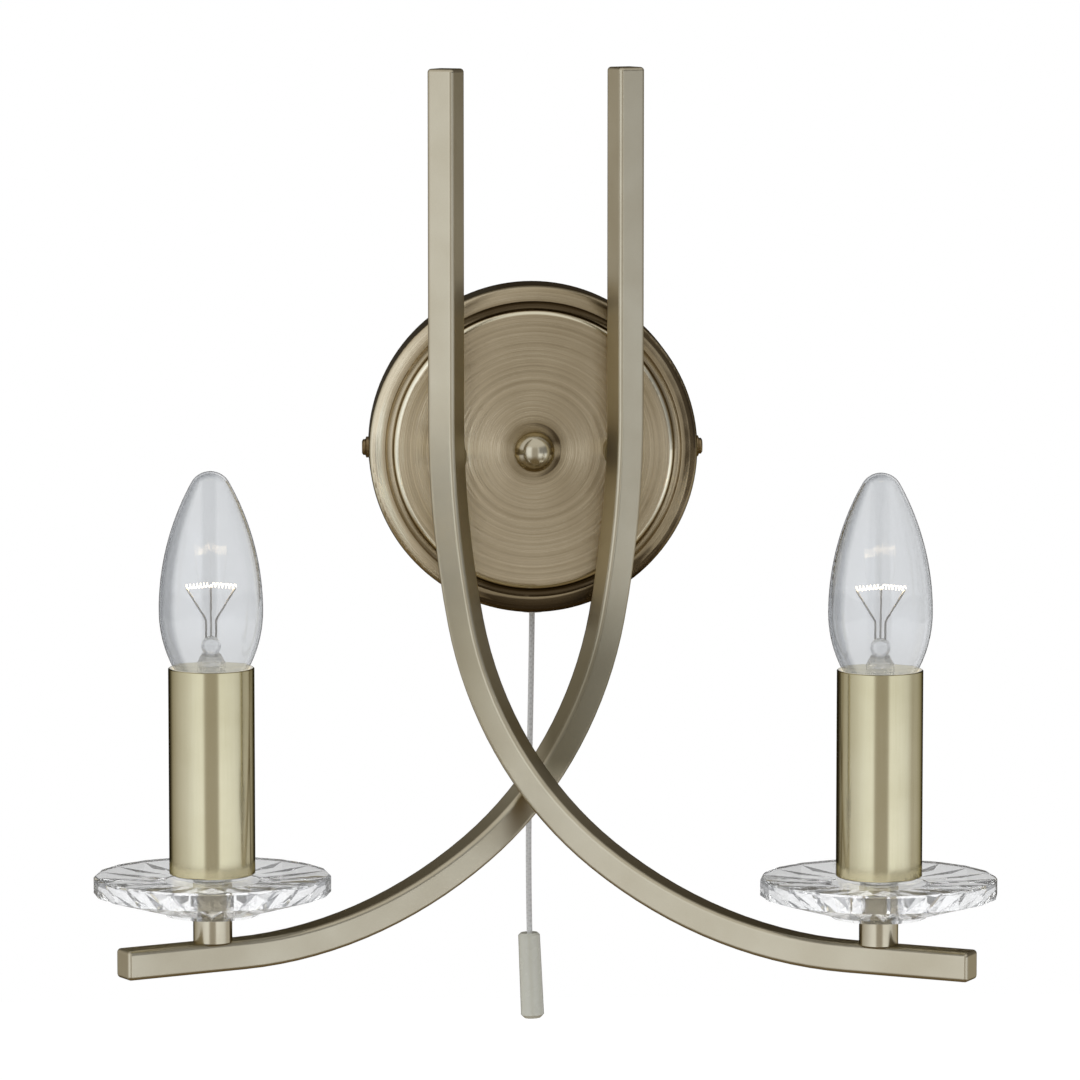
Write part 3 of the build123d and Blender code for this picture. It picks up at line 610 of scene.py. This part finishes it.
def make_light():
    """The studio that metal mirrors, and the white background that the camera and clear glass see."""
    world = bpy.data.worlds.new("studio")
    bpy.context.scene.world = world
    world.use_nodes = True
    tree = world.node_tree
    tree.nodes.clear()
    start = Flow(tree)
    way = start.node("ShaderNodeTexCoord", {}, {}, "Generated")
    path = tree.nodes.new("ShaderNodeLightPath")

    in_glass = start.math("MINIMUM", Flow(tree, path.outputs["Transmission Depth"]), 1.0) * 0.8
    mirrored = in_glass.mix(studio_tone(start, way), GLASS_TONE)
    studio = start.node("ShaderNodeBackground", {}, {"Color": mirrored, "Strength": 1.0})

    forward = tuple(-camera_back())
    ahead = start.node("ShaderNodeVectorMath", {"operation": "DOT_PRODUCT"}, {0: way, 1: forward}, "Value")
    field = ahead.ease(0.42, 0.88).mix(ASIDE_TONE, WHITE)
    background = start.node("ShaderNodeBackground", {}, {"Color": field, "Strength": 1.0})

    straight = Flow(tree, path.outputs["Is Camera Ray"]) + Flow(tree, path.outputs["Is Transmission Ray"])
    both = start.node("ShaderNodeMixShader", {}, {0: straight, 1: studio, 2: background})
    out = tree.nodes.new("ShaderNodeOutputWorld")
    tree.links.new(both.socket, out.inputs[0])


def make_floor():
    """Pale floor well below the light, near white to the camera."""
    bpy.ops.object.select_all(action="DESELECT")
    bpy.ops.mesh.primitive_plane_add(size=FLOOR_SIZE, location=(0, 0, FLOOR_HEIGHT))
    floor = bpy.context.object
    floor.name = "floor"
    made, start, out = new_material("Pale floor")
    tone = start.place().noise(3.0, 2.0).mix((0.80, 0.80, 0.79), (0.84, 0.84, 0.83))
    matt = start.node("ShaderNodeBsdfDiffuse", {}, {"Color": tone, "Roughness": 0.5})
    glow = start.node("ShaderNodeEmission", {}, {"Color": (*WHITE, 1.0), "Strength": FLOOR_GLOW})
    mixed = start.node("ShaderNodeMixShader", {}, {0: FLOOR_GLOW_SHARE, 1: matt, 2: glow})
    start.tree.links.new(mixed.socket, out.inputs[0])
    floor.data.materials.append(made)
    floor.visible_glossy = False
    floor.visible_diffuse = False


# ---- new pieces -----------------------------------------------------------------------------
def make_cord():
    """The pull cord as a curve along its own route, with its knot in the weight."""
    data = bpy.data.curves.new("braided_cord", "CURVE")
    data.dimensions = "3D"
    data.bevel_depth = CORD_DIAMETER / 2
    data.bevel_resolution = 5
    data.resolution_u = 24
    data.use_fill_caps = True
    line = data.splines.new("NURBS")
    line.points.add(len(CORD_ROUTE) - 1)
    for point, place in zip(line.points, CORD_ROUTE):
        point.co = (*place, 1.0)
    line.order_u = 3
    line.use_endpoint_u = True
    cord = bpy.data.objects.new("braided_cord", data)
    bpy.context.scene.collection.objects.link(cord)
    data.materials.append(materials["cord"])

    bpy.ops.object.select_all(action="DESELECT")
    bpy.ops.mesh.primitive_uv_sphere_add(segments=24, ring_count=16, radius=KNOT_RADIUS)
    knot = bpy.context.object
    knot.name = "cord_knot"
    bpy.ops.transform.translate(value=CORD_ROUTE[-1])
    bpy.ops.object.transform_apply(location=True, rotation=True, scale=True)
    bpy.ops.object.shade_smooth()
    knot.data.materials.append(materials["cord"])
    for piece in (cord, knot):
        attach(piece, "pull")
    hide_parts("pull_cord")


def make_dish(side):
    """Cut glass dish: a turned blank whose underside is cut into long hollow facets."""
    bpy.ops.object.select_all(action="DESELECT")
    radius, height = DISH_RINGS[0]
    bpy.ops.mesh.primitive_circle_add(vertices=DISH_SIDES, radius=radius, location=(0, 0, 0))
    dish = bpy.context.object
    dish.name = f"cut_dish_{side}"

    # the blank: its outline grown ring by ring and closed at the bore
    bpy.ops.object.mode_set(mode="EDIT")
    bpy.ops.mesh.select_mode(type="EDGE")
    bpy.ops.mesh.select_all(action="SELECT")
    for next_radius, next_height in DISH_RINGS[1:]:
        bpy.ops.mesh.extrude_edges_move(TRANSFORM_OT_translate={"value": (0, 0, next_height - height)})
        grow = next_radius / radius
        bpy.ops.transform.resize(value=(grow, grow, 1.0), center_override=(0, 0, next_height))
        radius, height = next_radius, next_height
    bpy.ops.mesh.select_all(action="DESELECT")
    bpy.ops.mesh.select_non_manifold()
    bpy.ops.mesh.bridge_edge_loops()
    bpy.ops.mesh.select_all(action="SELECT")
    bpy.ops.mesh.normals_make_consistent(inside=False)

    # the cuts: the middle of each facet pushed in
    bpy.ops.mesh.select_mode(type="FACE")
    bpy.ops.mesh.select_all(action="DESELECT")
    bpy.ops.object.mode_set(mode="OBJECT")
    for face in dish.data.polygons:
        face.select = DISH_CUT_LOW < face.center.z < DISH_CUT_HIGH and face.center.xy.length > DISH_CUT_RADIUS
    bpy.ops.object.mode_set(mode="EDIT")
    bpy.ops.mesh.poke(offset=-DISH_CUT_DEPTH)
    bpy.ops.object.mode_set(mode="OBJECT")

    axis = LAMPS[side]
    bpy.ops.transform.translate(value=(axis.x, axis.y, DISH_FOOT))
    bpy.ops.object.transform_apply(location=True, rotation=True, scale=True)
    dish.data.materials.append(materials["cut_glass"])
    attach(dish, "fixture")
    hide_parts(f"glass_dish_{side}")


def make_coil(radius, wire, turns, first, last, sides, steps):
    """A closed coil of round wire whose axis runs from the first point to the last."""
    run = last - first
    bpy.ops.object.select_all(action="DESELECT")
    bpy.ops.mesh.primitive_circle_add(vertices=sides, radius=wire, location=(0, 0, 0))
    coil = bpy.context.object
    bpy.ops.object.mode_set(mode="EDIT")
    bpy.ops.mesh.select_all(action="SELECT")
    bpy.ops.transform.rotate(value=pi / 2, orient_axis="X", orient_type="GLOBAL")
    bpy.ops.transform.translate(value=(radius, 0, 0))
    bpy.ops.object.mode_set(mode="OBJECT")
    twist = coil.modifiers.new("twist", "SCREW")
    twist.axis = "Z"
    twist.angle = 2 * pi
    twist.screw_offset = run.length / turns
    twist.iterations = turns
    twist.steps = steps
    twist.render_steps = steps
    twist.use_smooth_shade = True
    twist.use_normal_calculate = True
    bpy.ops.object.modifier_apply(modifier="twist")
    coil.rotation_mode = "QUATERNION"
    coil.rotation_quaternion = run.to_track_quat("Z", "Y")
    coil.location = first
    bpy.ops.object.transform_apply(location=True, rotation=True, scale=True)
    bpy.ops.object.mode_set(mode="EDIT")
    bpy.ops.mesh.select_all(action="SELECT")
    bpy.ops.mesh.fill_holes(sides=sides)
    bpy.ops.mesh.normals_make_consistent(inside=False)
    bpy.ops.object.mode_set(mode="OBJECT")
    return coil


def make_spring():
    """The switch's return spring."""
    foot = Vector((0, CORD_DEPTH, SPRING_FOOT))
    first = foot + Vector((0, 0, SPRING_WIRE))
    last = foot + Vector((0, 0, SPRING_LENGTH - SPRING_WIRE))
    spring = make_coil(SPRING_RADIUS, SPRING_WIRE, SPRING_TURNS, first, last, SPRING_SIDES, SPRING_STEPS)
    spring.name = "return_spring"
    spring.data.materials.append(materials["zinc_steel"])
    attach(spring, "fixture")
    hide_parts("switch_spring")
    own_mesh(spring)


def make_filament(side):
    """Two coils of fine wire that meet on the middle support and bow toward the room."""
    axis = LAMPS[side]
    coils = []
    for half in (-1, 1):
        held = axis + Vector((half * FILAMENT_HALF, 0, FILAMENT_HEIGHT))
        middle = axis + Vector((half * FILAMENT_HALF_GAP, -FILAMENT_BOW, FILAMENT_HEIGHT + FILAMENT_RISE))
        coils.append(make_coil(COIL_RADIUS, COIL_WIRE, COIL_TURNS, held, middle, COIL_SIDES, COIL_STEPS))
    bpy.ops.object.select_all(action="DESELECT")
    for coil in coils:
        coil.select_set(True)
    bpy.context.view_layer.objects.active = coils[0]
    bpy.ops.object.join()
    filament = bpy.context.object
    filament.name = f"coiled_filament_{side}"
    filament.data.materials.append(materials["filament"])
    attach(filament, f"bulb_{side}")
    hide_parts(f"bulb_filament_{side}")


make_camera()
make_cord()
make_spring()
make_floor()
make_light()
paint_nodes()
for lamp in LAMPS:
    make_dish(lamp)
    make_filament(lamp)

bpy.context.scene.view_settings.view_transform = "Standard"
